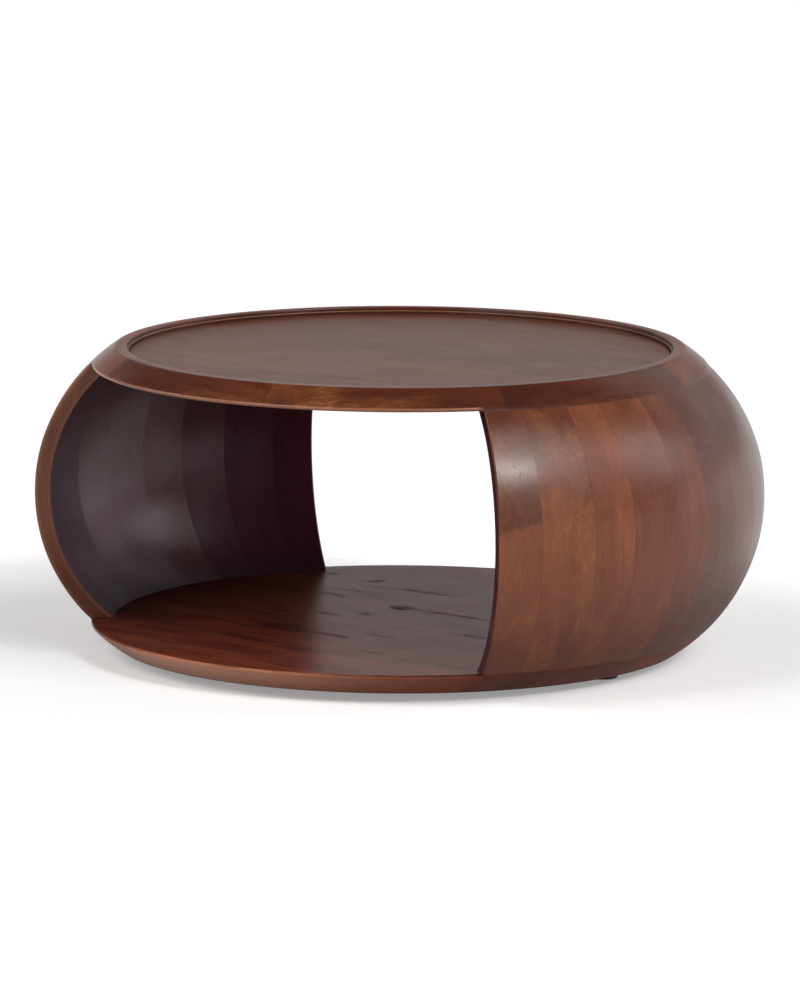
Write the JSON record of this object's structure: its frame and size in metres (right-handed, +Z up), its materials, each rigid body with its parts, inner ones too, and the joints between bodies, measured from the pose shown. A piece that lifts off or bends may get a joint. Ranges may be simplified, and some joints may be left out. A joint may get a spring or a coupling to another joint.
{
  "type": "drum coffee table",
  "caption": "Low round drum coffee table in dark stained solid wood, with a bulging body of staves, two opposite openings, an inset top with a raised rim and a round shelf.",
  "frame": {"origin": "on the floor under the centre of the round table, at the underside of the feet", "axes": "+Z up; the open compartment runs through along Y, its opening towards -Y is the front; the two curved walls stand at +X (right) and -X (left)"},
  "size_m": [0.9, 0.7635, 0.378],
  "materials": {
    "stained_wood": "walnut-stained mango wood under satin lacquer",
    "dowel_beech": "plain beech, unfinished",
    "foot_plastic": "black moulded plastic",
    "screw_steel": "zinc plated"
  },
  "bodies": {
    "root": {"base_board_1": "stained_wood", "base_board_2": "stained_wood", "base_board_3": "stained_wood", "base_board_4": "stained_wood", "base_board_5": "stained_wood", "base_board_6": "stained_wood", "base_board_7": "stained_wood", "base_board_dowels": "dowel_beech", "foot_1": "foot_plastic", "foot_2": "foot_plastic", "foot_3": "foot_plastic", "foot_4": "foot_plastic", "foot_screws": "screw_steel", "left_stave_1": "stained_wood", "left_stave_2": "stained_wood", "left_stave_3": "stained_wood", "left_stave_4": "stained_wood", "left_stave_5": "stained_wood", "left_stave_6": "stained_wood", "left_stave_7": "stained_wood", "left_stave_8": "stained_wood", "right_stave_1": "stained_wood", "right_stave_2": "stained_wood", "right_stave_3": "stained_wood", "right_stave_4": "stained_wood", "right_stave_5": "stained_wood", "right_stave_6": "stained_wood", "right_stave_7": "stained_wood", "right_stave_8": "stained_wood", "right_stave_9": "stained_wood", "rim_dowels": "dowel_beech", "rim_segment_1": "stained_wood", "rim_segment_2": "stained_wood", "rim_segment_3": "stained_wood", "rim_segment_4": "stained_wood", "rim_segment_5": "stained_wood", "rim_segment_6": "stained_wood", "rim_segment_7": "stained_wood", "rim_segment_8": "stained_wood", "top_board_1": "stained_wood", "top_board_2": "stained_wood", "top_board_3": "stained_wood", "top_board_4": "stained_wood", "top_board_5": "stained_wood", "top_board_6": "stained_wood", "top_board_7": "stained_wood", "top_board_dowels": "dowel_beech", "wall_dowels_lower": "dowel_beech", "wall_dowels_upper": "dowel_beech"}
  },
  "joints": []
}
